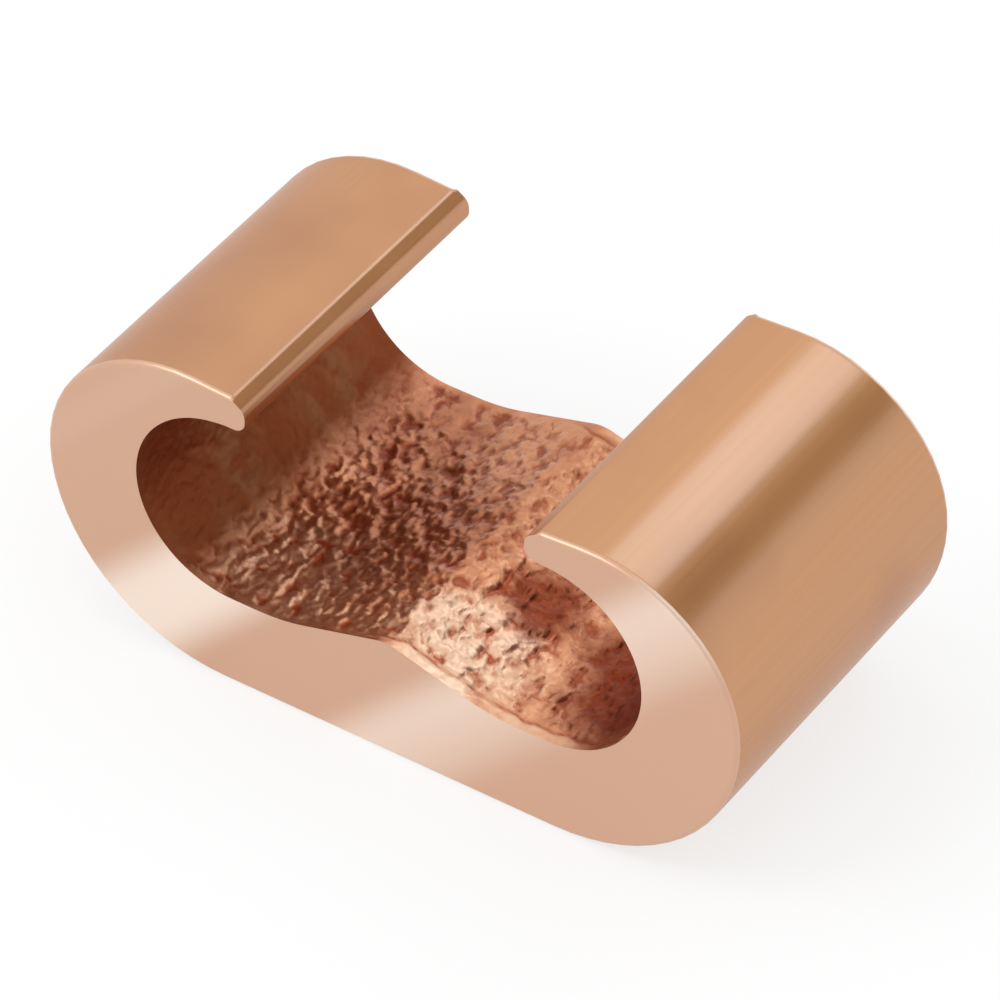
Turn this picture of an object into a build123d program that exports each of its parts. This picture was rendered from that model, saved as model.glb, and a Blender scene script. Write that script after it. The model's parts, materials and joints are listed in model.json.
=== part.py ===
from build123d import *
import math
import os

# C-shaped compression tap, one length cut from a copper bar of constant section.
# X runs across the two grooves, Y along the conductors and Z up out of the mouth.
# The origin is the middle of the flat underside. Every size is in millimetres.

# Conductor grooves, which face each other across the mouth
groove_radius = 4.2
groove_spacing = 13.6
length = 14.5

# Copper left around the grooves
side_wall = 4.0
floor_wall = 4.1
lip_wall = 1.5

# Outer corners: the heels at the underside, the shoulders above them
heel_radius = 7.7

# Lips: how far each reaches past its groove's centre, and the shape of its end
lip_reach = 0.8
lip_fall_deg = 3.5
lip_bevel = 0.55
lip_nose_radius = 0.5

# Ridge that parts the grooves on the floor: its flanks would meet at its rise above the
# floor, and meet the floor at its setback from the grooves' centres
ridge_rise = 1.3
ridge_setback = 2.2
ridge_crest_radius = 1.5
ridge_root_radius = 8.0

# Broken edge around both sawn ends
edge_break = 0.15

# The cutter that opens the section runs past the metal on every open side
cutter_overrun = 5.0

# Sizes that follow from the ones above
groove_x = groove_spacing / 2
groove_z = floor_wall + groove_radius
groove_top = floor_wall + 2 * groove_radius
half_width = groove_x + groove_radius + side_wall
height = groove_top + lip_wall
shoulder_radius = height - heel_radius
shoulder_x = half_width - shoulder_radius
mouth_half = groove_x - lip_reach
ridge_half_width = groove_x - ridge_setback


def on_circle(x, z, radius, angle_deg):
    """The point of a circle at an angle that is counted from +X towards +Z."""
    angle = math.radians(angle_deg)
    return (x + radius * math.cos(angle), z + radius * math.sin(angle))


# Where the shoulder ends and the lip's straight top starts
lip_start = on_circle(shoulder_x, heel_radius, shoulder_radius, 90 + lip_fall_deg)


def lip_top_z(x):
    """Height of the lip's top, which falls a little towards the mouth, at a distance from the middle."""
    return lip_start[1] - (lip_start[0] - x) * math.tan(math.radians(lip_fall_deg))


def both_halves(half):
    """The closed face made by half an outline, from one point on X = 0 to another, and its mirror."""
    with BuildSketch(Plane.XZ) as face:
        with BuildLine():
            add(half)
            mirror(about=Plane.YZ)
        make_face()
    return face.sketch


def outside_half():
    """Half of the bar's outside: underside, heel, shoulder and the lip's top run on to the middle."""
    with BuildLine() as line:
        Line((0, 0), (half_width - heel_radius, 0))
        CenterArc((half_width - heel_radius, heel_radius), heel_radius, -90, 90)
        CenterArc((shoulder_x, heel_radius), shoulder_radius, 0, 90 + lip_fall_deg)
        Line(lip_start, (0, lip_top_z(0)))
    return line.line


def opening_half():
    """Half of the space that the bar leaves open: ridge, floor, groove, lip end and mouth."""
    flank = math.atan2(ridge_rise, ridge_half_width)
    flank_deg = math.degrees(flank)
    crest_z = floor_wall + ridge_rise - ridge_crest_radius / math.cos(flank)
    root_x = ridge_half_width + ridge_root_radius * math.tan(flank / 2)
    root_z = floor_wall + ridge_root_radius
    nose_x = mouth_half + lip_nose_radius
    nose_z = groove_top + lip_nose_radius
    bevel_top = lip_top_z(mouth_half + lip_bevel)
    rim_z = height + cutter_overrun
    rim_x = mouth_half + lip_bevel + rim_z - bevel_top
    flank_top = on_circle(0, crest_z, ridge_crest_radius, 90 - flank_deg)
    flank_foot = on_circle(root_x, root_z, ridge_root_radius, 270 - flank_deg)
    with BuildLine() as line:
        CenterArc((0, crest_z), ridge_crest_radius, 90, -flank_deg)
        Line(flank_top, flank_foot)
        CenterArc((root_x, root_z), ridge_root_radius, 270 - flank_deg, flank_deg)
        Line((root_x, floor_wall), (groove_x, floor_wall))
        CenterArc((groove_x, groove_z), groove_radius, -90, 180)
        Line((groove_x, groove_top), (nose_x, groove_top))
        CenterArc((nose_x, nose_z), lip_nose_radius, -90, -90)
        Line((mouth_half, nose_z), (mouth_half, bevel_top - lip_bevel))
        Line((mouth_half, bevel_top - lip_bevel), (rim_x, rim_z))
        Line((rim_x, rim_z), (0, rim_z))
    return line.line


def tap_body():
    """The solid bar with its ends broken, opened along its whole length."""
    bar = extrude(both_halves(outside_half()), amount=length / 2, both=True)
    ends = bar.edges().group_by(Axis.Y)
    bar = fillet(ends[0] + ends[-1], edge_break)
    cutter = extrude(both_halves(opening_half()), amount=length / 2 + cutter_overrun, both=True)
    return bar - cutter


os.makedirs("parts", exist_ok=True)
export_step(tap_body(), "parts/tap_body.step")
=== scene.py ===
"""Bare copper C-shaped compression tap on a pale studio floor.

The tap is one length cut from an extruded copper bar. X runs across its two grooves, Y along the
conductors and Z up out of the mouth, with the origin in the middle of the flat underside.
"""

import json
import math

import bpy
from bpy.props import FloatProperty, FloatVectorProperty, IntProperty, PointerProperty
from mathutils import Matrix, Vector


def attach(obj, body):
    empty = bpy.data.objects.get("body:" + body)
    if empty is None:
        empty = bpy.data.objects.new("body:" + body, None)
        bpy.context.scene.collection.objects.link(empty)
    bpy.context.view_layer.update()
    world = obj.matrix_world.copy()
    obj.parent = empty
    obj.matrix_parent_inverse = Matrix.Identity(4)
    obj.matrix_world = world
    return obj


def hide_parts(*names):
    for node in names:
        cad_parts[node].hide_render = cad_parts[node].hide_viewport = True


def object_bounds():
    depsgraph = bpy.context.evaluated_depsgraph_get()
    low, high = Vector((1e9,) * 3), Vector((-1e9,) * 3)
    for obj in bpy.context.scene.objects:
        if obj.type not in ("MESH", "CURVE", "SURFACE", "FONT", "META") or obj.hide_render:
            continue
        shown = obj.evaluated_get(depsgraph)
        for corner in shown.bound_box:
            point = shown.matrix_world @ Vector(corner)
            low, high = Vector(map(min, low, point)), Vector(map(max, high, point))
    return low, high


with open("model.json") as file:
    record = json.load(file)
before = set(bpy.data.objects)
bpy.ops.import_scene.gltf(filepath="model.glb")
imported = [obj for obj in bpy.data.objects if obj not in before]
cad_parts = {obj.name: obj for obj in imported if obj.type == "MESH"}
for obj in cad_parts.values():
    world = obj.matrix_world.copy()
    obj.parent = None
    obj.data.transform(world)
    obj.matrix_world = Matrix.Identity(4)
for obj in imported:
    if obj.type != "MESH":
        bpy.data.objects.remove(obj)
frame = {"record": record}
CAD_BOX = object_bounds()

bl_info = {
    "name": "Copper C-tap",
    "version": (1, 0, 0),
    "blender": (4, 5, 0),
    "location": "View3D > Sidebar > C-tap",
    "description": "Makes a copper compression tap and the studio that it stands in",
    "category": "Object",
}

MM = 0.001
BOX_LOW, BOX_HIGH = CAD_BOX
TAP_GROOVE = next(m for m in frame["record"]["mounts"] if m["name"] == "tap_groove")


def linear_rgb(hex_colour):
    """A colour written as sRGB hex digits, as the linear red, green and blue that shaders take."""
    shares = (int(hex_colour[i:i + 2], 16) / 255 for i in (0, 2, 4))
    return tuple(v / 12.92 if v <= 0.04045 else ((v + 0.055) / 1.055) ** 2.4 for v in shares)


def size(name, description, default):
    """A length that the sidebar shows in the scene's units."""
    return FloatProperty(name=name, description=description, default=default, unit="LENGTH", precision=5)


def angle_property(name, description, degrees):
    """An angle that the sidebar shows in the scene's units."""
    return FloatProperty(name=name, description=description, default=math.radians(degrees), unit="ROTATION")


def colour(name, description, hex_colour):
    """A colour swatch in the sidebar."""
    return FloatVectorProperty(
        name=name,
        description=description,
        default=linear_rgb(hex_colour),
        subtype="COLOR",
        size=3,
        min=0,
        max=1,
    )


class TapSection(bpy.types.PropertyGroup):
    """Sizes of the bar's section and of the length that is cut from it."""

    half_width: size("Half width", "From the middle to the outside of one shoulder", BOX_HIGH.x)
    height: size("Height", "From the underside to the top of the shoulders", BOX_HIGH.z)
    length: size("Cut length", "Length of the tap along the conductors", BOX_HIGH.y - BOX_LOW.y)
    groove_radius: size("Groove radius", "Radius of both conductor grooves", TAP_GROOVE["dims"]["r_mm"] * MM)
    groove_x: size("Groove offset", "From the middle to the centre of a groove", TAP_GROOVE["pos_m"][0])
    groove_z: size("Groove height", "Height of the grooves' centres", TAP_GROOVE["pos_m"][2])
    heel_radius: size("Heel radius", "Rounding where the underside turns up into the sides", 7.7 * MM)
    lip_fall: angle_property("Lip fall", "Slope of the lips' tops towards the mouth", 3.5)
    lip_reach: size("Lip reach", "How far a lip reaches past its groove's centre", 0.8 * MM)
    lip_bevel: size("Lip bevel", "Width of the slope that breaks a lip's upper edge", 0.6 * MM)
    lip_drop: size("Lip drop", "Height of the bevel on each lip", 0.41 * MM)
    lip_corner_radius: size("Lip corner radius", "Rounding between a lip's top and its bevel", 0.3 * MM)
    lip_foot_radius: size("Lip foot radius", "Rounding between the bevel and the lip's end", 0.55 * MM)
    lip_nose_radius: size("Lip nose radius", "Rounding of a lip's lower edge", 0.5 * MM)
    ridge_rise: size("Ridge rise", "Height above the floor at which the ridge's flanks would meet", 1.3 * MM)
    ridge_setback: size("Ridge setback", "From a groove's centre to the foot of the ridge", 2.2 * MM)
    ridge_crest_radius: size("Ridge crest radius", "Rounding of the ridge's crest", 1.5 * MM)
    ridge_root_radius: size("Ridge root radius", "Rounding where the ridge meets the floor", 8.0 * MM)
    edge_break: size("Edge break", "Rounding of the outer edges of both sawn ends", 0.2 * MM)


class TapLining(bpy.types.PropertyGroup):
    """Crumpled crystalline lining of the grooves, and how finely it is meshed."""

    flake_width: size("Flake width", "Width of a flake across the conductors", 0.42 * MM)
    flake_length: size("Flake length", "Length of a flake along the conductors", 0.56 * MM)
    flake_depth: size("Flake depth", "Height between the highest and the lowest flakes", 0.17 * MM)
    rim: size("Rim", "Width of the smoother band that the saw left beside each end", 0.6 * MM)
    fade: size("Fade", "Distance over which the lips' smooth ends turn into the rough lining", 0.7 * MM)
    seed: IntProperty(name="Seed", description="Chooses another arrangement of flakes", default=7, min=0)
    fine_step: size("Fine step", "Spacing of the mesh across the lining and the lips", 0.085 * MM)
    skin_step: size("Skin step", "Spacing of the mesh across the smooth outside", 0.8 * MM)
    rows: IntProperty(name="Rows", description="Rows of the mesh along the cut length", default=150, min=20)
    break_rows: IntProperty(
        name="Edge rows", description="Rows of the mesh round each broken edge", default=5, min=1
    )


class TapFinish(bpy.types.PropertyGroup):
    """Colours of the bare copper, some of them painted shade, sheen and highlight."""

    skin: colour("Drawn skin", "Satin outside of the bar", "C98E59")
    # The warmer skin marks handled patches and die lines, and is also painted shade that darkens the run side
    skin_warm_and_shade: colour("Drawn skin, warmer", "Handled patches of the outside", "BC8050")
    grazing: colour("Grazing shine", "Tint of the skin's shine where it turns away from the eye", "E6CCBE")
    end: colour("Sawn end", "Fresh copper of the end faces", "D8AC90")
    # The paler end colour is painted sheen: bands of light that saw chatter catches, painted into the colour
    end_painted_sheen: colour("Sawn end, paler", "Burnished bands of the end faces", "FCE8D8")
    lining: colour("Lining", "Crumpled copper in the grooves", "E09A70")
    lining_deep: colour("Lining, deeper", "Oxidised hollows between the flakes", "AA532F")
    # Painted shade for the sheltered walls under the lips; the paler streaks in it are painted reflection
    lining_shaded: colour("Lining, shaded", "Browner copper high up in the grooves", "94502F")
    lining_streak: colour("Lining, streaks", "Paler streaks that run up the walls of the grooves", "9A6442")
    # Rubbed copper, and also painted highlight: a cream patch, pinker flake tops and the pale rim
    lining_rubbed: colour("Lining, rubbed", "Bright copper where the lining is rubbed", "F2CEAE")
    # Oxidised copper, and also painted shadow where a lip shades the floor
    lining_oxide: colour("Lining, oxidised", "Dark red patch of the lining", "7E3018")


class TapStudio(bpy.types.PropertyGroup):
    """Floor, lamps and camera."""

    floor: colour("Floor", "Colour of the studio floor", "F4F4F4")
    camera_azimuth: angle_property("Camera azimuth", "Turn of the camera round the tap", 33.54)
    camera_elevation: angle_property("Camera elevation", "Height of the camera as an angle", 41.19)
    camera_distance: size("Camera distance", "From the tap's origin to the camera", 273.09 * MM)
    aim_right: size("Aim to the right", "How far right of the origin the camera aims", 0.151 * MM)
    aim_up: size("Aim up", "How far above the origin, in the picture, the camera aims", 5.260 * MM)
    lens: FloatProperty(
        name="Lens", description="Focal length in millimetres for a 36 mm sensor", default=263.5
    )
    key_power: FloatProperty(
        name="Key lamp", description="Power of the lamp above the front left", default=0.24, unit="POWER"
    )
    strip_power: FloatProperty(
        name="Strip lamp", description="Power of the strip behind the tap", default=0.12, unit="POWER"
    )
    strip_tint: FloatVectorProperty(
        name="Strip tint",
        description="Cool white of the strip lamp",
        default=(0.72, 0.87, 1.0),
        subtype="COLOR",
        size=3,
    )
    felt: colour("Felt", "Black felt of the cards that darken the metal's reflections", "4F4F4F")


def fill(tree, node, sockets):
    """Gives each named or numbered input of a node a value or a link."""
    for key, value in sockets.items():
        if isinstance(value, bpy.types.NodeSocket):
            tree.links.new(value, node.inputs[key])
        else:
            node.inputs[key].default_value = value


def add_node(tree, kind, settings=None, sockets=None):
    """Adds a node, sets its properties and fills its inputs."""
    node = tree.nodes.new(kind)
    for name, value in (settings or {}).items():
        setattr(node, name, value)
    fill(tree, node, sockets or {})
    return node


def new_material(name):
    """A material with its node tree and its surface node."""
    material = bpy.data.materials.new(name)
    material.use_nodes = True
    return material, material.node_tree, material.node_tree.nodes["Principled BSDF"]


def new_object(name, data):
    """An object in the scene."""
    made = bpy.data.objects.new(name, data)
    bpy.context.scene.collection.objects.link(made)
    return made


# Constants below that are dicts of From and To hold inputs of Map Range nodes: what they read and give

# Section of the bar

# How far the groove has curved up from its floor where its shelter starts and where it is full
SHELTER_STARTS = math.radians(10)
SHELTER_FULL = math.radians(34)
# Fewest pieces in a rounded corner, and the share of a mesh step under which two points are one
LEAST_PIECES = 4
SAME_POINT = 1e-3


def section_corners(section, fine, coarse):
    """Corners of the section, anticlockwise from the right heel: place, rounding, mesh step and part."""
    fall = math.tan(section.lip_fall)
    shoulder_radius = section.height - section.heel_radius
    shoulder_x = section.half_width - shoulder_radius
    top_x = shoulder_x - shoulder_radius * math.sin(section.lip_fall)
    top_z = section.heel_radius + shoulder_radius * math.cos(section.lip_fall)
    mouth_x = section.groove_x - section.lip_reach
    bevel_x = mouth_x + section.lip_bevel
    bevel_z = top_z - (top_x - bevel_x) * fall
    wall_x = section.groove_x + section.groove_radius
    groove_top = section.groove_z + section.groove_radius
    floor_z = section.groove_z - section.groove_radius
    ridge_x = section.groove_x - section.ridge_setback
    right = [
        (section.half_width, 0, section.heel_radius, coarse, "skin"),
        (section.half_width, top_z + (section.half_width - top_x) * fall, shoulder_radius, coarse, "skin"),
        (bevel_x, bevel_z, section.lip_corner_radius, fine, "lip"),
        (mouth_x, bevel_z - section.lip_drop, section.lip_foot_radius, fine, "nose"),
        (mouth_x, groove_top, section.lip_nose_radius, fine, "nose"),
        (wall_x, groove_top, section.groove_radius, fine, "lining"),
        (wall_x, floor_z, section.groove_radius, fine, "lining"),
        (ridge_x, floor_z, section.ridge_root_radius, fine, "lining"),
    ]
    crest = (0, floor_z + section.ridge_rise, section.ridge_crest_radius, fine, "lining")
    left = [(-x, z, radius, step, part) for x, z, radius, step, part in reversed(right)]
    return right + [crest] + left


def heading(start, end):
    """Direction from one corner to another, as an angle from +X towards +Z."""
    return math.atan2(end[1] - start[1], end[0] - start[0])


def rounded_section(corners):
    """Points round the section: place, outward normal, part, and share of the edge break."""
    arcs = []
    for i, (x, z, radius, step, part) in enumerate(corners):
        into = heading(corners[i - 1], corners[i])
        out = heading(corners[i], corners[(i + 1) % len(corners)])
        turn = math.remainder(out - into, math.tau)
        reach = radius * math.tan(abs(turn) / 2)
        arcs.append((x, z, radius, step, part, into, turn, reach))
    points = []
    for i, (x, z, radius, step, part, into, turn, reach) in enumerate(arcs):
        side = math.copysign(1, turn)
        start = (x - reach * math.cos(into), z - reach * math.sin(into))
        centre = (start[0] - side * radius * math.sin(into), start[1] + side * radius * math.cos(into))
        pieces = max(LEAST_PIECES, math.ceil(radius * abs(turn) / step))
        for k in range(pieces + 1):
            angle = into + turn * k / pieces
            normal = (math.sin(angle), -math.cos(angle))
            share = {"skin": 1.0, "lip": 1 - k / pieces if x > 0 else k / pieces}.get(part, 0.0)
            place = (centre[0] + side * radius * normal[0], centre[1] + side * radius * normal[1])
            points.append((place, normal, part, share))
        end = points[-1][0]
        after_x, after_z, _, _, after_part, _, _, after_reach = arcs[(i + 1) % len(arcs)]
        out = into + turn
        gap = math.dist((x, z), (after_x, after_z)) - reach - after_reach
        pieces = math.ceil(gap / step - 1e-6)
        for k in range(1, pieces):
            place = (end[0] + math.cos(out) * gap * k / pieces, end[1] + math.sin(out) * gap * k / pieces)
            points.append((place, points[-1][1], part if part == after_part else "between", points[-1][3]))
        if gap < step * SAME_POINT:
            points.pop()
    return points


def section_mesh(section, lining):
    """The section as a closed loop of edges, with what the sweep reads stored at its points.

    Only the lining's points use "sheltered", which says how far up the wall of a groove they lie.
    """
    corners = section_corners(section, lining.fine_step, lining.skin_step)
    points = rounded_section(corners)
    count = len(points)
    mesh = bpy.data.meshes.new("tap_section")
    mesh.from_pydata(
        [(p[0][0], 0, p[0][1]) for p in points], [(i, (i + 1) % count) for i in range(count)], []
    )
    travelled = [0.0]
    for before, after in zip(points, points[1:]):
        travelled.append(travelled[-1] + math.dist(before[0], after[0]))
    rough = [s for s, p in zip(travelled, points) if p[2] == "lining"]
    start, end = rough[0], rough[-1]
    stored = {"section_normal": [], "edge_share": [], "travelled": travelled, "lining": [], "sheltered": []}
    for s, (place, normal, _, share) in zip(travelled, points):
        stored["section_normal"].append((normal[0], 0, normal[1]))
        stored["edge_share"].append(share)
        stored["lining"].append(min(1.0, max(0.0, min(s - start, end - s) / lining.fade)))
        curved = math.atan2(-math.copysign(normal[0], place[0] * normal[0]), normal[1])
        shelter = (curved - SHELTER_STARTS) / (SHELTER_FULL - SHELTER_STARTS)
        stored["sheltered"].append(min(1.0, max(0.0, shelter)))
    for name, values in stored.items():
        is_vector = name == "section_normal"
        attribute = mesh.attributes.new(name, "FLOAT_VECTOR" if is_vector else "FLOAT", "POINT")
        flat = [c for v in values for c in v] if is_vector else values
        attribute.data.foreach_set("vector" if is_vector else "value", flat)
    return mesh


# Sweep of the section along the cut length

# Coarse and fine flakes: cells to a flake's width, share of the depth, and how far the cells run together
FLAKE_SIZES = ((1.0, 0.75, 0.15), (1.9, 0.4, 0.1))
# The flakes waver: waves to a flake's width, and how many widths they stray
WAVER, WAVER_REACH = 0.7, 1.8
# The slower swell under them: waves to a flake's width, and share of the depth
SWELL, SWELL_SHARE = 0.45, 1.2
# Noise on the lining laid out flat
ON_SHEET = {"noise_dimensions": "2D"}
# Flake widths between the patterns of two seeds
SEED_STRIDE = 17.3
# The rim beside each end: waves of its border to a flake's width, how proud it stands, and, in rim widths,
# where the flakes begin
RIM_WAVES, RIM_LEVEL = 0.35, 0.3
FLAKES_BEGIN = {"From Min": 0.3, "From Max": 0.9}
# The crease behind the rim: its place in rim widths, and how its depth falls off beside that
CREASE_PLACE, CREASE = 0.35, {"From Max": 0.25, "To Min": 0.6, "To Max": 0.0}
# On the run side the flakes run on nearly to the edge: where that sets in, and by how many rim widths
RUN_SIDE, RUN_ON = {"From Min": 0.0, "From Max": -2.0 * MM}, 0.6
# The share of the depth that is left on sheltered walls, at the far end and on the tap side
UNDER = {"To Min": 1.0, "To Max": 0.55}
REAR = {"From Min": 3 * MM, "From Max": 7 * MM, "To Min": 1.0, "To Max": 0.6}
TAP_SIDE = {"From Min": 0.5 * MM, "From Max": 2.5 * MM, "To Min": 1.0, "To Max": 0.8}
# Faces that look along Y by at least this much are the flat ends, and the broken edges round them
FLAT_END, BROKEN_EDGE = 0.9995, 0.1
# Share of the full relief from which a face counts as lining
LINED = 0.02


def sweep_tree():
    """Geometry Nodes that sweep a section along Y, break its outer edges and crumple its lining."""
    tree = bpy.data.node_groups.new("tap_sweep", "GeometryNodeTree")
    for name, kind in (
        ("Section", "Geometry"),
        ("Length", "Float"),
        ("Edge break", "Float"),
        ("Rows", "Int"),
        ("Edge rows", "Int"),
        ("Flake width", "Float"),
        ("Flake length", "Float"),
        ("Flake depth", "Float"),
        ("Rim", "Float"),
        ("Seed", "Int"),
        ("Skin", "Material"), ("End", "Material"), ("Lining", "Material"),
    ):
        tree.interface.new_socket(name, in_out="INPUT", socket_type="NodeSocket" + kind)
    tree.interface.new_socket("Tap", in_out="OUTPUT", socket_type="NodeSocketGeometry")
    given = add_node(tree, "NodeGroupInput").outputs

    # Rail: rows close together round each broken edge and even between them
    last = add_node(tree, "ShaderNodeMath", {"operation": "SUBTRACT"}, {0: given["Rows"], 1: 1.0}).outputs[0]
    index = add_node(tree, "GeometryNodeInputIndex").outputs[0]
    from_far = add_node(tree, "ShaderNodeMath", {"operation": "SUBTRACT"}, {0: last, 1: index}).outputs[0]
    row = add_node(tree, "ShaderNodeMath", {"operation": "MINIMUM"}, {0: index, 1: from_far}).outputs[0]
    share = add_node(
        tree, "ShaderNodeMath", {"operation": "DIVIDE", "use_clamp": True}, {0: row, 1: given["Edge rows"]}
    ).outputs[0]
    turn = add_node(tree, "ShaderNodeMath", {"operation": "MULTIPLY"}, {0: share, 1: math.pi / 2}).outputs[0]
    rounding = {}
    for curve in ("SINE", "COSINE"):
        less = add_node(tree, "ShaderNodeMath", {"operation": curve}, {0: turn}).outputs[0]
        less = add_node(tree, "ShaderNodeMath", {"operation": "SUBTRACT"}, {0: 1.0, 1: less}).outputs[0]
        rounding[curve] = add_node(
            tree, "ShaderNodeMath", {"operation": "MULTIPLY"}, {0: less, 1: given["Edge break"]}
        ).outputs[0]
    half = add_node(
        tree, "ShaderNodeMath", {"operation": "MULTIPLY"}, {0: given["Length"], 1: 0.5}
    ).outputs[0]
    flat = add_node(
        tree, "ShaderNodeMath", {"operation": "SUBTRACT"}, {0: half, 1: given["Edge break"]}
    ).outputs[0]
    half_last = add_node(tree, "ShaderNodeMath", {"operation": "MULTIPLY"}, {0: last, 1: 0.5}).outputs[0]
    flat_rows = add_node(
        tree, "ShaderNodeMath", {"operation": "SUBTRACT"}, {0: half_last, 1: given["Edge rows"]}
    ).outputs[0]
    step = add_node(tree, "ShaderNodeMath", {"operation": "DIVIDE"}, {0: flat, 1: flat_rows}).outputs[0]
    past = add_node(
        tree, "ShaderNodeMath", {"operation": "SUBTRACT"}, {0: row, 1: given["Edge rows"]}
    ).outputs[0]
    past = add_node(tree, "ShaderNodeMath", {"operation": "MAXIMUM"}, {0: past, 1: 0.0}).outputs[0]
    depth = add_node(
        tree, "ShaderNodeMath", {"operation": "MULTIPLY_ADD"}, {0: past, 1: step, 2: rounding["COSINE"]}
    ).outputs[0]
    from_middle = add_node(tree, "ShaderNodeMath", {"operation": "SUBTRACT"}, {0: half, 1: depth}).outputs[0]
    side = add_node(tree, "ShaderNodeMath", {"operation": "SUBTRACT"}, {0: index, 1: half_last}).outputs[0]
    side = add_node(tree, "ShaderNodeMath", {"operation": "SIGN"}, {0: side}).outputs[0]
    along = add_node(tree, "ShaderNodeMath", {"operation": "MULTIPLY"}, {0: from_middle, 1: side}).outputs[0]
    line = add_node(tree, "GeometryNodeMeshLine", {"mode": "OFFSET"}, {"Count": given["Rows"]}).outputs[0]
    place = add_node(tree, "ShaderNodeCombineXYZ", None, {"Y": along}).outputs[0]
    for name, value in (("inset", rounding["SINE"]), ("from_end", depth)):
        line = add_node(
            tree, "GeometryNodeStoreNamedAttribute", None, {"Geometry": line, "Name": name, "Value": value}
        ).outputs[0]
    line = add_node(tree, "GeometryNodeSetPosition", None, {"Geometry": line, "Position": place}).outputs[0]
    rail = add_node(tree, "GeometryNodeMeshToCurve", None, {"Mesh": line}).outputs[0]
    rail = add_node(tree, "GeometryNodeSetCurveNormal", {"mode": "Z_UP"}, {"Curve": rail}).outputs[0]
    turned = add_node(
        tree, "GeometryNodeTransform", None, {"Geometry": given["Section"], "Rotation": (math.pi / 2, 0, 0)}
    ).outputs[0]
    profile = add_node(tree, "GeometryNodeMeshToCurve", None, {"Mesh": turned}).outputs[0]
    bar = add_node(
        tree, "GeometryNodeCurveToMesh", None, {"Curve": rail, "Profile Curve": profile, "Fill Caps": True}
    ).outputs[0]
    bar = add_node(tree, "GeometryNodeFlipFaces", None, {"Mesh": bar}).outputs[0]

    # Flakes: blunt peaks of two sizes with creases between them, on a slower swell
    travelled, lining, sheltered, from_end, inset, edge_share = (
        add_node(tree, "GeometryNodeInputNamedAttribute", {"data_type": "FLOAT"}, {"Name": name}).outputs[0]
        for name in ("travelled", "lining", "sheltered", "from_end", "inset", "edge_share")
    )
    position = add_node(tree, "GeometryNodeInputPosition").outputs[0]
    y = add_node(tree, "ShaderNodeSeparateXYZ", None, {0: position}).outputs["Y"]
    spread = add_node(
        tree, "ShaderNodeMath", {"operation": "MULTIPLY"}, {0: given["Seed"], 1: SEED_STRIDE}
    ).outputs[0]
    across = add_node(
        tree, "ShaderNodeMath", {"operation": "DIVIDE"}, {0: travelled, 1: given["Flake width"]}
    ).outputs[0]
    across = add_node(tree, "ShaderNodeMath", {"operation": "ADD"}, {0: across, 1: spread}).outputs[0]
    lengthwise = add_node(
        tree, "ShaderNodeMath", {"operation": "DIVIDE"}, {0: y, 1: given["Flake length"]}
    ).outputs[0]
    sheet = add_node(tree, "ShaderNodeCombineXYZ", None, {"X": across, "Y": lengthwise}).outputs[0]
    waver = add_node(
        tree, "ShaderNodeTexNoise", ON_SHEET, {"Vector": sheet, "Scale": WAVER, "Detail": 2.0}
    ).outputs["Color"]
    waver = add_node(
        tree, "ShaderNodeVectorMath", {"operation": "SUBTRACT"}, {0: waver, 1: (0.5, 0.5, 0.5)}
    ).outputs[0]
    warped = add_node(
        tree,
        "ShaderNodeVectorMath",
        {"operation": "MULTIPLY_ADD"},
        {0: waver, 1: (WAVER_REACH, WAVER_REACH, 0), 2: sheet},
    ).outputs[0]
    swell = add_node(
        tree, "ShaderNodeTexNoise", ON_SHEET, {"Vector": sheet, "Scale": SWELL, "Detail": 1.0}
    ).outputs[0]
    relief = add_node(
        tree, "ShaderNodeMath", {"operation": "MULTIPLY"}, {0: swell, 1: SWELL_SHARE}
    ).outputs[0]
    for scale, weight, smooth in FLAKE_SIZES:
        cells = add_node(
            tree,
            "ShaderNodeTexVoronoi",
            {"feature": "SMOOTH_F1", "voronoi_dimensions": "2D"},
            {"Vector": warped, "Scale": scale, "Smoothness": smooth},
        ).outputs
        relief = add_node(
            tree,
            "ShaderNodeMath",
            {"operation": "MULTIPLY_ADD"},
            {0: cells["Distance"], 1: -weight, 2: relief},
        ).outputs[0]

    # A smoother rim beside each end stands a little proud and ends in a crease, but for the run side. The
    # relief is lower on the sheltered walls, towards the far end and on the tap side
    past_rim = add_node(
        tree, "ShaderNodeMath", {"operation": "DIVIDE"}, {0: from_end, 1: given["Rim"]}
    ).outputs[0]
    wavy = add_node(
        tree, "ShaderNodeTexNoise", ON_SHEET, {"Vector": sheet, "Scale": RIM_WAVES, "Detail": 1.0}
    ).outputs[0]
    past_rim = add_node(tree, "ShaderNodeMath", {"operation": "SUBTRACT"}, {0: past_rim, 1: wavy}).outputs[0]
    x = add_node(tree, "ShaderNodeSeparateXYZ", None, {0: position}).outputs["X"]
    ragged = add_node(tree, "ShaderNodeMapRange", None, {"Value": x, **RUN_SIDE}).outputs[0]
    past_rim = add_node(
        tree, "ShaderNodeMath", {"operation": "MULTIPLY_ADD"}, {0: ragged, 1: RUN_ON, 2: past_rim}
    ).outputs[0]
    rough = add_node(tree, "ShaderNodeMapRange", None, {"Value": past_rim, **FLAKES_BEGIN}).outputs[0]
    relief = add_node(
        tree, "ShaderNodeMix", {"data_type": "FLOAT"}, {"Factor": rough, "A": RIM_LEVEL, "B": relief}
    ).outputs[0]
    from_crease = add_node(
        tree, "ShaderNodeMath", {"operation": "SUBTRACT"}, {0: past_rim, 1: CREASE_PLACE}
    ).outputs[0]
    from_crease = add_node(tree, "ShaderNodeMath", {"operation": "ABSOLUTE"}, {0: from_crease}).outputs[0]
    crease = add_node(tree, "ShaderNodeMapRange", None, {"Value": from_crease, **CREASE}).outputs[0]
    even = add_node(tree, "ShaderNodeMath", {"operation": "SUBTRACT"}, {0: 1.0, 1: ragged}).outputs[0]
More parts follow.
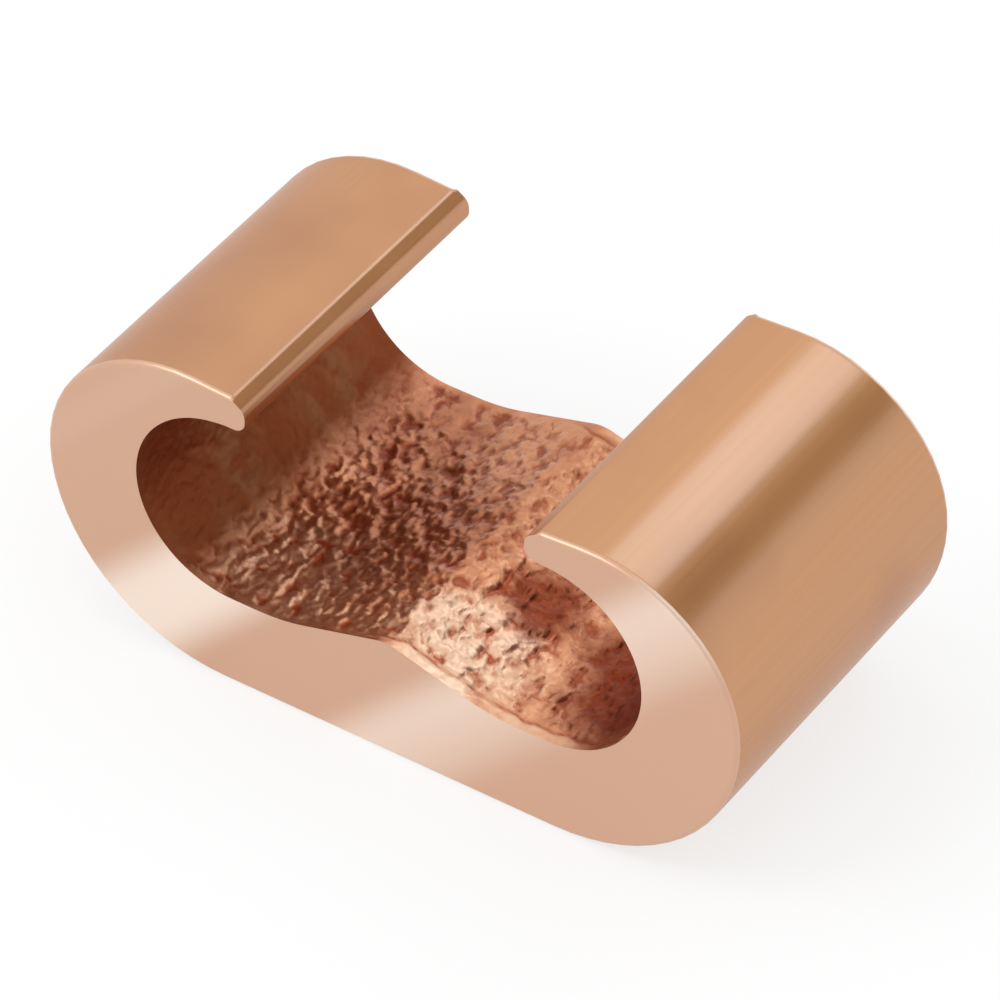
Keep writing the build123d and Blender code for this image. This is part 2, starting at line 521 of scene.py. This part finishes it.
    crease = add_node(tree, "ShaderNodeMath", {"operation": "MULTIPLY"}, {0: crease, 1: even}).outputs[0]
    relief = add_node(tree, "ShaderNodeMath", {"operation": "SUBTRACT"}, {0: relief, 1: crease}).outputs[0]
    under = add_node(tree, "ShaderNodeMapRange", None, {"Value": sheltered, **UNDER}).outputs[0]
    rear = add_node(tree, "ShaderNodeMapRange", None, {"Value": y, **REAR}).outputs[0]
    tapped = add_node(tree, "ShaderNodeMapRange", None, {"Value": x, **TAP_SIDE}).outputs[0]
    depth = given["Flake depth"]
    for share in (lining, under, rear, tapped):
        depth = add_node(tree, "ShaderNodeMath", {"operation": "MULTIPLY"}, {0: depth, 1: share}).outputs[0]
    bar = add_node(
        tree, "GeometryNodeStoreNamedAttribute", None, {"Geometry": bar, "Name": "relief", "Value": relief}
    ).outputs[0]
    relief = add_node(
        tree, "GeometryNodeInputNamedAttribute", {"data_type": "FLOAT"}, {"Name": "relief"}
    ).outputs[0]
    height = add_node(tree, "ShaderNodeMath", {"operation": "MULTIPLY"}, {0: relief, 1: depth}).outputs[0]

    # Broken edge: the rows near an end move in by the inset of their row
    broken = add_node(tree, "ShaderNodeMath", {"operation": "MULTIPLY"}, {0: inset, 1: edge_share}).outputs[0]
    outward = add_node(tree, "ShaderNodeMath", {"operation": "SUBTRACT"}, {0: height, 1: broken}).outputs[0]
    normal = add_node(
        tree, "GeometryNodeInputNamedAttribute", {"data_type": "FLOAT_VECTOR"}, {"Name": "section_normal"}
    ).outputs[0]
    offset = add_node(
        tree, "ShaderNodeVectorMath", {"operation": "SCALE"}, {0: normal, "Scale": outward}
    ).outputs[0]
    bar = add_node(tree, "GeometryNodeSetPosition", None, {"Geometry": bar, "Offset": offset}).outputs[0]

    # Finish by region: skin, lining where it is rough, and the two ends with the edges round them
    face_normal = add_node(tree, "GeometryNodeInputNormal").outputs[0]
    facing = add_node(tree, "ShaderNodeSeparateXYZ", None, {0: face_normal}).outputs["Y"]
    facing = add_node(tree, "ShaderNodeMath", {"operation": "ABSOLUTE"}, {0: facing}).outputs[0]
    is_end = add_node(
        tree, "FunctionNodeCompare", {"operation": "GREATER_THAN"}, {0: facing, 1: FLAT_END}
    ).outputs[0]
    is_lining = add_node(
        tree, "FunctionNodeCompare", {"operation": "GREATER_THAN"}, {0: lining, 1: LINED}
    ).outputs[0]
    bar = add_node(
        tree, "GeometryNodeSetShadeSmooth", None, {"Geometry": bar, "Shade Smooth": True}
    ).outputs[0]
    bar = add_node(
        tree,
        "GeometryNodeSetShadeSmooth",
        None,
        {"Geometry": bar, "Selection": is_end, "Shade Smooth": False},
    ).outputs[0]
    for name in ("inset", "from_end", "edge_share", "section_normal", "travelled"):
        bar = add_node(tree, "GeometryNodeRemoveAttribute", None, {"Geometry": bar, "Name": name}).outputs[0]
    bar = add_node(tree, "GeometryNodeRealizeInstances", None, {"Geometry": bar}).outputs[0]
    bar = add_node(
        tree, "GeometryNodeSetMaterial", None, {"Geometry": bar, "Material": given["Skin"]}
    ).outputs[0]
    bar = add_node(
        tree,
        "GeometryNodeSetMaterial",
        None,
        {"Geometry": bar, "Selection": is_lining, "Material": given["Lining"]},
    ).outputs[0]
    is_sawn = add_node(
        tree, "FunctionNodeCompare", {"operation": "GREATER_THAN"}, {0: facing, 1: BROKEN_EDGE}
    ).outputs[0]
    is_smooth = add_node(tree, "FunctionNodeBooleanMath", {"operation": "NOT"}, {0: is_lining}).outputs[0]
    is_sawn = add_node(
        tree, "FunctionNodeBooleanMath", {"operation": "AND"}, {0: is_sawn, 1: is_smooth}
    ).outputs[0]
    is_sawn = add_node(
        tree, "FunctionNodeBooleanMath", {"operation": "OR"}, {0: is_sawn, 1: is_end}
    ).outputs[0]
    bar = add_node(
        tree,
        "GeometryNodeSetMaterial",
        None,
        {"Geometry": bar, "Selection": is_sawn, "Material": given["End"]},
    ).outputs[0]
    add_node(tree, "NodeGroupOutput", None, {"Tap": bar})
    return tree


def plain_mesh_object(source, name):
    """The evaluated object as a new one with a plain mesh and no modifier, in place of the source."""
    evaluated = source.evaluated_get(bpy.context.evaluated_depsgraph_get())
    mesh = bpy.data.meshes.new_from_object(evaluated)
    mesh.name = name
    bpy.data.objects.remove(source)
    return new_object(name, mesh)


# Finishes

# Skin: width, length and depth of the die lines, their roughness, and how they show in the tone
DIE_LINE_WIDTH, DIE_LINE_LENGTH, DIE_LINE_DEPTH = 0.22 * MM, 30 * MM, 0.012 * MM
SATIN = {"To Min": 0.38, "To Max": 0.46}
DRAWN = {"From Min": 0.4, "From Max": 0.7, "To Max": 0.25}
# Handled patches: their size, their border in the noise, and how much more of the skin they darken with each
# metre towards the run groove, which is painted shade on the run side
HANDLED_PATCH, HANDLED_AND_SHADE = 7 * MM, {"From Min": 0.4, "From Max": 0.68}
RUN_SIDE_SHADE_LEAN = 8.0
SKIN_SHINE = {"Metallic": 1.0, "Coat Weight": 0.48, "Coat IOR": 2.4, "Coat Roughness": 0.18}
# Saw chatter on the ends, as pale bands of painted sheen: distance between two bands, their slant, and where
# the first one lies
CHATTER_PITCH = 9.2 * MM
CHATTER_TURN = math.radians(-45)
CHATTER_SHIFT = 4.3 * MM
PAINTED_SHEEN = {"From Min": 0.3, "From Max": 1.0}
# The bands of painted sheen swell and fade over a longer distance, and are strongest left of the middle
BEAT_PITCH = 28 * MM
BEAT_PHASE = math.radians(208)
BEAT = {"From Min": 0.1, "From Max": 0.85}
BANDS = {"wave_type": "BANDS", "bands_direction": "X", "wave_profile": "SIN"}
# Wave nodes count their scale in this many bands to a metre
WAVE_SCALE = math.tau / 20
END_SHINE = {"Metallic": 1.0, "Roughness": 0.42, "Coat Weight": 0.4, "Coat Roughness": 0.3}
# Crystals of the lining, drawn coarser than the grain of copper so that they show: their width and how
# steeply their facets lean, in the open and on sheltered walls
CRYSTAL, CRYSTAL_LEAN = 0.3 * MM, {"To Min": 0.22, "To Max": 0.22 / 6}
# Relief of a hollow's colour and of a raised flake's colour, whose paler copper is partly painted highlight
RAISED = {"From Min": -0.25, "From Max": 0.12}
# Ragged noise that dulls the flakes and frays the patches: its grain, and where it dulls them
RAGGED, DULL = 1.2 * MM, {"From Min": 0.5, "From Max": 0.7, "To Max": 0.5}
# Streaks of painted reflection on the sheltered walls: their width, how much longer they are, and the noise
# that makes them
STREAK_WIDTH, STREAK_STRETCH, STREAKS = 1.6 * MM, 5.0, {"From Min": 0.42, "From Max": 0.64}
# Patches of the lining: finish, middle and reach in millimetres, and how strong each is
LINING_PATCHES = (
    # Painted highlight: a cream patch on the front of the ridge, then pinker flake tops on the run side's
    # floor
    ("lining_rubbed", (2.2, -5.2, 4.6), 3.4, 0.75),
    ("lining_rubbed", (-5.4, -5.2, 4.2), 4.2, 0.35),
    ("lining_streak", (-1.0, 4.5, 5.2), 5.5, 0.3),
    # Painted shadow cast by the tap side's lip on the floor, then a dark patch low on that groove's far wall
    ("lining_oxide", (3.2, -1.4, 4.3), 2.2, 0.9),
    ("lining_oxide", (7.2, -2.0, 4.1), 2.4, 0.9),
    ("lining_oxide", (8.6, -4.4, 4.6), 3.0, 0.95),
    # Darker patches on the run side, towards the far end and on the ridge's flank
    ("lining_oxide", (-6.4, 4.6, 4.2), 3.8, 0.45),
    ("lining_oxide", (-3.0, -0.8, 4.7), 4.6, 0.45),
)
# A patch's border, in reaches from its middle and with the ragged noise added
PATCH_EDGE = {"From Min": 1.5, "From Max": 1.0}
# The pale rim of the lining, a painted highlight along the saw's burr: its soft border, measured from the
# middle of the bar, the side that it is on and its strength there, and the ragged noise that leaves it clean
RIM_BORDER = {"From Min": 6.7 * MM, "From Max": 6.9 * MM}
RIM_SIDE = {"From Min": 0.5 * MM, "From Max": 2.5 * MM, "To Max": 0.5}
RIM_CLEAN = {"From Min": 0.6, "From Max": 0.4}
# Roughness of the lining: hollows and raised flakes left of the ridge, where it is frosted, the smoother
# copper right of it, the stretch between the two, and the sheltered walls
FROSTED, POLISHED = {"To Min": 0.56, "To Max": 0.4}, 0.34
FROST_FADES = {"From Min": -0.5 * MM, "From Max": 1.5 * MM}
SHELTERED_ROUGHNESS = 0.6
# Mix nodes blend colours, not numbers
COLOURS = {"data_type": "RGBA"}
# Clear film on the open lining, and none on the sheltered walls
LINING_FILM = {"To Min": 0.5, "To Max": 0.0}
LINING_SHINE = {"Metallic": 1.0, "Coat Roughness": 0.15}


def drawn_copper_skin(finish):
    """Drawn copper under a thin oxide film: satin with fine die lines, and a paler, sharper shine on top."""
    material, tree, surface = new_material("drawn_copper_skin")
    where = add_node(tree, "ShaderNodeTexCoord").outputs["Object"]
    stretched = add_node(
        tree,
        "ShaderNodeMapping",
        None,
        {"Vector": where, "Scale": (1 / DIE_LINE_WIDTH, 1 / DIE_LINE_LENGTH, 1 / DIE_LINE_WIDTH)},
    ).outputs[0]
    die_lines = add_node(
        tree, "ShaderNodeTexNoise", None, {"Vector": stretched, "Scale": 1.0, "Detail": 3.0}
    ).outputs[0]
    patches = add_node(
        tree, "ShaderNodeTexNoise", None, {"Vector": where, "Scale": 1 / HANDLED_PATCH, "Detail": 2.0}
    ).outputs[0]
    # Leaning the patches towards the run side paints shade onto that side of the skin
    x = add_node(tree, "ShaderNodeSeparateXYZ", None, {0: where}).outputs["X"]
    patches = add_node(
        tree, "ShaderNodeMath", {"operation": "MULTIPLY_ADD"}, {0: x, 1: -RUN_SIDE_SHADE_LEAN, 2: patches}
    ).outputs[0]
    handled_and_shade = add_node(tree, "ShaderNodeMapRange", None, {"Value": patches, **HANDLED_AND_SHADE}).outputs[0]
    drawn = add_node(tree, "ShaderNodeMapRange", None, {"Value": die_lines, **DRAWN}).outputs[0]
    handled_and_shade = add_node(tree, "ShaderNodeMath", {"operation": "MAXIMUM"}, {0: handled_and_shade, 1: drawn}).outputs[0]
    tone = add_node(
        tree, "ShaderNodeMix", COLOURS, {0: handled_and_shade, 6: (*finish.skin, 1), 7: (*finish.skin_warm_and_shade, 1)}
    ).outputs[2]
    satin = add_node(tree, "ShaderNodeMapRange", None, {"Value": die_lines, **SATIN}).outputs[0]
    bump = add_node(
        tree, "ShaderNodeBump", None, {"Height": die_lines, "Strength": 0.5, "Distance": DIE_LINE_DEPTH}
    ).outputs[0]
    fill(tree, surface, {"Base Color": tone, "Roughness": satin, "Normal": bump, **SKIN_SHINE})
    fill(tree, surface, {"Specular Tint": (*finish.grazing, 1)})
    return material


def sawn_copper_end(finish):
    """Sawn and tumbled copper: a flat, fresh, slightly pinker cut with soft slanting bands of painted sheen
    from saw chatter.
    """
    material, tree, surface = new_material("sawn_copper_end")
    where = add_node(tree, "ShaderNodeTexCoord").outputs["Object"]
    turned = add_node(
        tree,
        "ShaderNodeMapping",
        None,
        {"Vector": where, "Rotation": (0, CHATTER_TURN, 0), "Location": (CHATTER_SHIFT, 0, 0)},
    ).outputs[0]
    chatter = add_node(
        tree, "ShaderNodeTexWave", BANDS, {"Vector": turned, "Scale": WAVE_SCALE / CHATTER_PITCH}
    ).outputs["Fac"]
    beat = add_node(
        tree,
        "ShaderNodeTexWave",
        BANDS,
        {"Vector": turned, "Scale": WAVE_SCALE / BEAT_PITCH, "Phase Offset": BEAT_PHASE},
    ).outputs["Fac"]
    strength = add_node(tree, "ShaderNodeMapRange", None, {"Value": beat, **BEAT}).outputs[0]
    painted_sheen = add_node(
        tree, "ShaderNodeMapRange", {"interpolation_type": "SMOOTHSTEP"}, {"Value": chatter, **PAINTED_SHEEN}
    ).outputs[0]
    painted_sheen = add_node(
        tree, "ShaderNodeMath", {"operation": "MULTIPLY"}, {0: painted_sheen, 1: strength}
    ).outputs[0]
    tone = add_node(
        tree, "ShaderNodeMix", COLOURS, {0: painted_sheen, 6: (*finish.end, 1), 7: (*finish.end_painted_sheen, 1)}
    ).outputs[2]
    fill(tree, surface, {"Base Color": tone, **END_SHINE})
    return material


def crumpled_copper_lining(finish):
    """Crumpled crystalline copper: bright flakes over deep red hollows, and painted shade with streaks on the
    sheltered walls.
    """
    material, tree, surface = new_material("crumpled_copper_lining")
    where = add_node(tree, "ShaderNodeTexCoord").outputs["Object"]
    relief = add_node(tree, "ShaderNodeAttribute", {"attribute_name": "relief"}).outputs["Fac"]
    sheltered = add_node(tree, "ShaderNodeAttribute", {"attribute_name": "sheltered"}).outputs["Fac"]

    # Crystal facets, as planes that lean by each crystal's own random tilt
    crystals = add_node(tree, "ShaderNodeTexVoronoi", None, {"Vector": where, "Scale": 1 / CRYSTAL}).outputs
    lean = add_node(
        tree, "ShaderNodeVectorMath", {"operation": "SUBTRACT"}, {0: crystals["Color"], 1: (0.5, 0.5, 0.5)}
    ).outputs[0]
    within = add_node(
        tree, "ShaderNodeVectorMath", {"operation": "SUBTRACT"}, {0: where, 1: crystals["Position"]}
    ).outputs[0]
    facet = add_node(
        tree, "ShaderNodeVectorMath", {"operation": "DOT_PRODUCT"}, {0: lean, 1: within}
    ).outputs["Value"]
    steep = add_node(tree, "ShaderNodeMapRange", None, {"Value": sheltered, **CRYSTAL_LEAN}).outputs[0]
    facet = add_node(tree, "ShaderNodeMath", {"operation": "MULTIPLY"}, {0: facet, 1: steep}).outputs[0]

    # Tone: hollows and raised flakes, partly painted highlight, in the open; streaked painted shade on the
    # sheltered walls
    raised = add_node(tree, "ShaderNodeMapRange", None, {"Value": relief, **RAISED}).outputs[0]
    tone = add_node(
        tree, "ShaderNodeMix", COLOURS, {0: raised, 6: (*finish.lining_deep, 1), 7: (*finish.lining, 1)}
    ).outputs[2]
    in_open = add_node(tree, "ShaderNodeMath", {"operation": "SUBTRACT"}, {0: 1.0, 1: sheltered}).outputs[0]
    raised_in_open = add_node(
        tree, "ShaderNodeMath", {"operation": "MULTIPLY"}, {0: raised, 1: in_open}
    ).outputs[0]
    ragged = add_node(
        tree, "ShaderNodeTexNoise", None, {"Vector": where, "Scale": 1 / RAGGED, "Detail": 3.0}
    ).outputs[0]
    dull = add_node(tree, "ShaderNodeMapRange", None, {"Value": ragged, **DULL}).outputs[0]
    tone = add_node(
        tree, "ShaderNodeMix", COLOURS, {0: dull, 6: tone, 7: (*finish.lining_deep, 1)}
    ).outputs[2]
    stretched = add_node(
        tree,
        "ShaderNodeMapping",
        {"vector_type": "TEXTURE"},
        {"Vector": where, "Scale": (STREAK_STRETCH, 1.0, STREAK_STRETCH)},
    ).outputs[0]
    streaks = add_node(
        tree, "ShaderNodeTexNoise", None, {"Vector": stretched, "Scale": 1 / STREAK_WIDTH, "Detail": 1.0}
    ).outputs[0]
    streaks = add_node(tree, "ShaderNodeMapRange", None, {"Value": streaks, **STREAKS}).outputs[0]
    streaks = add_node(tree, "ShaderNodeMath", {"operation": "MULTIPLY"}, {0: streaks, 1: raised}).outputs[0]
    shade = add_node(
        tree,
        "ShaderNodeMix",
        COLOURS,
        {0: streaks, 6: (*finish.lining_shaded, 1), 7: (*finish.lining_streak, 1)},
    ).outputs[2]
    tone = add_node(tree, "ShaderNodeMix", COLOURS, {0: sheltered, 6: tone, 7: shade}).outputs[2]
    coat = add_node(tree, "ShaderNodeMapRange", None, {"Value": sheltered, **LINING_FILM}).outputs[0]

    # Patches: rubbed ones and painted highlight only on raised flakes in the open; the others, painted shadow
    # among them, also dull the film
    for paint, centre, reach, most in LINING_PATCHES:
        away = add_node(
            tree, "ShaderNodeVectorMath", {"operation": "DISTANCE"}, {0: where, 1: [c * MM for c in centre]}
        ).outputs[1]
        away = add_node(tree, "ShaderNodeMath", {"operation": "DIVIDE"}, {0: away, 1: reach * MM}).outputs[0]
        away = add_node(tree, "ShaderNodeMath", {"operation": "ADD"}, {0: away, 1: ragged}).outputs[0]
        patch = add_node(
            tree, "ShaderNodeMapRange", None, {"Value": away, **PATCH_EDGE, "To Max": most}
        ).outputs[0]
        if paint == "lining_rubbed":
            patch = add_node(
                tree, "ShaderNodeMath", {"operation": "MULTIPLY"}, {0: patch, 1: raised_in_open}
            ).outputs[0]
        else:
            bare = add_node(tree, "ShaderNodeMath", {"operation": "SUBTRACT"}, {0: 1.0, 1: patch}).outputs[0]
            coat = add_node(tree, "ShaderNodeMath", {"operation": "MULTIPLY"}, {0: coat, 1: bare}).outputs[0]
        tone = add_node(
            tree, "ShaderNodeMix", COLOURS, {0: patch, 6: tone, 7: (*getattr(finish, paint), 1)}
        ).outputs[2]

    # Pale rim towards the tap side, a painted highlight along the saw's burr
    x, y, _ = add_node(tree, "ShaderNodeSeparateXYZ", None, {0: where}).outputs
    y = add_node(tree, "ShaderNodeMath", {"operation": "ABSOLUTE"}, {0: y}).outputs[0]
    rim = add_node(tree, "ShaderNodeMapRange", None, {"Value": y, **RIM_BORDER}).outputs[0]
    tapped = add_node(tree, "ShaderNodeMapRange", None, {"Value": x, **RIM_SIDE}).outputs[0]
    clean = add_node(tree, "ShaderNodeMapRange", None, {"Value": ragged, **RIM_CLEAN}).outputs[0]
    for share in (raised, tapped, clean):
        rim = add_node(tree, "ShaderNodeMath", {"operation": "MULTIPLY"}, {0: rim, 1: share}).outputs[0]
    tone = add_node(
        tree, "ShaderNodeMix", COLOURS, {0: rim, 6: tone, 7: (*finish.lining_rubbed, 1)}
    ).outputs[2]

    # Roughness
    frosted = add_node(tree, "ShaderNodeMapRange", None, {"Value": raised, **FROSTED}).outputs[0]
    polished = add_node(tree, "ShaderNodeMapRange", None, {"Value": x, **FROST_FADES}).outputs[0]
    roughness = add_node(
        tree, "ShaderNodeMix", {"data_type": "FLOAT"}, {"Factor": polished, "A": frosted, "B": POLISHED}
    ).outputs[0]
    roughness = add_node(
        tree,
        "ShaderNodeMix",
        {"data_type": "FLOAT"},
        {"Factor": sheltered, "A": roughness, "B": SHELTERED_ROUGHNESS},
    ).outputs[0]
    bump = add_node(
        tree, "ShaderNodeBump", None, {"Height": facet, "Strength": 1.0, "Distance": 1.0}
    ).outputs[0]
    fill(tree, surface, {"Base Color": tone, "Roughness": roughness, "Coat Weight": coat, "Normal": bump})
    fill(tree, surface, LINING_SHINE)
    return material


class TAP_OT_copper_body(bpy.types.Operator):
    """Make the copper C-tap in place of its plain solid"""

    bl_idname = "tap.copper_body"
    bl_label = "Copper body"

    def execute(self, context):
        scene = context.scene
        section, lining, finish = scene.tap_section, scene.tap_lining, scene.tap_finish
        draft = new_object("tap_draft", section_mesh(section, lining))
        sweep = draft.modifiers.new("sweep", "NODES")
        sweep.node_group = sweep_tree()
        wanted = {
            "Length": section.length,
            "Edge break": section.edge_break,
            "Rows": lining.rows,
            "Edge rows": lining.break_rows,
            "Flake width": lining.flake_width,
            "Flake length": lining.flake_length,
            "Flake depth": lining.flake_depth,
            "Rim": lining.rim,
            "Seed": lining.seed,
            "Skin": drawn_copper_skin(finish),
            "End": sawn_copper_end(finish),
            "Lining": crumpled_copper_lining(finish),
        }
        for socket in sweep.node_group.interface.items_tree:
            if socket.name in wanted:
                sweep[socket.identifier] = wanted[socket.name]
        tap = plain_mesh_object(draft, "copper_tap")
        if not tap.data.polygons:
            raise RuntimeError("the sweep made no faces")
        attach(tap, "root")
        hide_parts("tap_body")
        return {"FINISHED"}


# Studio

# Lamps and cards: azimuth from +X towards +Y and elevation in degrees, distance, width and height in metres
KEY_LAMP = ((228, 51.5), 0.35, 0.16, 0.06)
STRIP_LAMP = ((87, 50.5), 0.5, 0.287, 0.052)
FELT_CARDS = {
    "rear_card": ((51, 42), 0.5, 0.231, 0.204),
    "camera_card": ((-56.5, 41), 0.5, 0.2, 0.2),
    "edge_card": ((-50, 12), 0.5, 0.14, 0.16),
}
WHITE = (1, 1, 1)
# Half the floor's width, its gap under the tap, and the share of white in what the camera and the metal see
FLOOR_REACH = 1.5
FLOOR_GAP = 0.02 * MM
FLOOR_WHITE = 0.72
# Camera: sensor width in millimetres, and the nearest and farthest distance that it sees
SENSOR_WIDTH = 36
CLIP = (0.01, 10)


def studio_floor(paint):
    """Matt white sweep of paper, which shows near white and keeps a faint shadow of the tap."""
    material, tree, surface = new_material("matt_paper_sweep")
    fill(tree, surface, {"Base Color": (*paint, 1), "Roughness": 0.9})
    seen = add_node(tree, "ShaderNodeLightPath").outputs
    shown = add_node(
        tree, "ShaderNodeMath", {"operation": "ADD"}, {0: seen["Is Camera Ray"], 1: seen["Is Glossy Ray"]}
    ).outputs[0]
    shown = add_node(
        tree,
        "ShaderNodeMath",
        {"operation": "ADD", "use_clamp": True},
        {0: shown, 1: seen["Is Transmission Ray"]},
    ).outputs[0]
    glow = add_node(tree, "ShaderNodeEmission", None, {"Color": (*WHITE, 1)}).outputs[0]
    share = add_node(tree, "ShaderNodeMath", {"operation": "MULTIPLY"}, {0: shown, 1: FLOOR_WHITE}).outputs[0]
    mixed = add_node(tree, "ShaderNodeMixShader", None, {0: share, 1: surface.outputs[0], 2: glow}).outputs[0]
    tree.links.new(mixed, tree.nodes["Material Output"].inputs["Surface"])
    return material


def towards(azimuth, elevation):
    """Unit vector at an azimuth and an elevation above the floor, both in degrees."""
    a, e = math.radians(azimuth), math.radians(elevation)
    return Vector((math.cos(a) * math.cos(e), math.sin(a) * math.cos(e), math.sin(e)))


def soft_box(name, angles, distance, width, height, power, tint):
    """An oblong lamp that shines on the tap from a direction and that the camera doesn't see."""
    direction = towards(*angles)
    lamp = bpy.data.lights.new(name, "AREA")
    lamp.shape = "RECTANGLE"
    lamp.size, lamp.size_y = width, height
    lamp.energy = power
    lamp.color = tint
    placed = new_object(name, lamp)
    placed.location = direction * distance
    placed.rotation_euler = direction.to_track_quat("Z", "Y").to_euler()
    placed.visible_camera = False


def felt_card(name, angles, distance, width, height, felt):
    """A black card that faces the tap and that only its shiny metal reflects."""
    direction = towards(*angles)
    turn = direction.to_track_quat("Z", "Y")
    x, y = width / 2, height / 2
    flat = ((-x, -y, 0), (-x, y, 0), (x, y, 0), (x, -y, 0))
    corners = [turn @ Vector(corner) + direction * distance for corner in flat]
    mesh = bpy.data.meshes.new(name)
    mesh.from_pydata(corners, [], [(0, 1, 2, 3)])
    mesh.materials.append(felt)
    card = new_object(name, mesh)
    card.visible_camera = card.visible_diffuse = card.visible_shadow = False


def black_felt(paint):
    """Black wool felt: quite without shine."""
    material, tree, surface = new_material("black_felt")
    fill(tree, surface, {"Base Color": (*paint, 1), "Roughness": 1.0, "Specular IOR Level": 0.0})
    return material


def plain_world():
    """Even white light from all round."""
    world = bpy.data.worlds.new("white_studio")
    world.use_nodes = True
    bpy.context.scene.world = world
    light = world.node_tree.nodes["Background"]
    fill(world.node_tree, light, {"Color": (*WHITE, 1), "Strength": 1.0})


def add_camera(studio):
    """Long lens at the angle from which the tap is pictured."""
    a, e = studio.camera_azimuth, studio.camera_elevation
    back = Vector((math.sin(a) * math.cos(e), -math.cos(a) * math.cos(e), math.sin(e)))
    right = Vector((math.cos(a), math.sin(a), 0))
    up = back.cross(right)
    lens = bpy.data.cameras.new("camera")
    lens.lens = studio.lens
    lens.sensor_width = SENSOR_WIDTH
    lens.clip_start, lens.clip_end = CLIP
    camera = new_object("camera", lens)
    camera.location = back * studio.camera_distance + right * studio.aim_right + up * studio.aim_up
    camera.rotation_euler = (-back).to_track_quat("-Z", "Y").to_euler()
    bpy.context.scene.camera = camera


class TAP_OT_studio(bpy.types.Operator):
    """Make the floor, the lamps, the world and the camera"""

    bl_idname = "tap.studio"
    bl_label = "Studio"

    def execute(self, context):
        studio = context.scene.tap_studio
        context.scene.view_settings.view_transform = "Standard"
        reach = FLOOR_REACH
        flat = ((-reach, -reach), (reach, -reach), (reach, reach), (-reach, reach))
        mesh = bpy.data.meshes.new("studio_floor")
        mesh.from_pydata([(x, y, -FLOOR_GAP) for x, y in flat], [], [(0, 1, 2, 3)])
        mesh.materials.append(studio_floor(studio.floor))
        floor = new_object("studio_floor", mesh)
        plain_world()
        soft_box("key_lamp", *KEY_LAMP, studio.key_power, WHITE)
        soft_box("strip_lamp", *STRIP_LAMP, studio.strip_power, studio.strip_tint)
        felt = black_felt(studio.felt)
        for name, place in FELT_CARDS.items():
            felt_card(name, *place, felt)
        add_camera(studio)
        return {"FINISHED"}


class TAP_PT_sidebar(bpy.types.Panel):
    """Steps that make the tap"""

    bl_idname = "TAP_PT_sidebar"
    bl_label = "Copper C-tap"
    bl_space_type = "VIEW_3D"
    bl_region_type = "UI"
    bl_category = "C-tap"

    def draw(self, context):
        layout = self.layout
        for step, groups in STEPS:
            for group in groups:
                settings = getattr(context.scene, group)
                for name in settings.__annotations__:
                    layout.prop(settings, name)
            layout.operator(step)


STEPS = (
    ("tap.copper_body", ("tap_section", "tap_lining", "tap_finish")),
    ("tap.studio", ("tap_studio",)),
)
SETTINGS = {
    "tap_section": TapSection, "tap_lining": TapLining, "tap_finish": TapFinish, "tap_studio": TapStudio
}
CLASSES = (*SETTINGS.values(), TAP_OT_copper_body, TAP_OT_studio, TAP_PT_sidebar)


def register():
    for cls in CLASSES:
        bpy.utils.register_class(cls)
    for name, group in SETTINGS.items():
        setattr(bpy.types.Scene, name, PointerProperty(type=group))


def unregister():
    for name in SETTINGS:
        delattr(bpy.types.Scene, name)
    for cls in reversed(CLASSES):
        bpy.utils.unregister_class(cls)


def main():
    register()
    bpy.ops.tap.copper_body()
    bpy.ops.tap.studio()


if __name__ == "__main__":
    main()
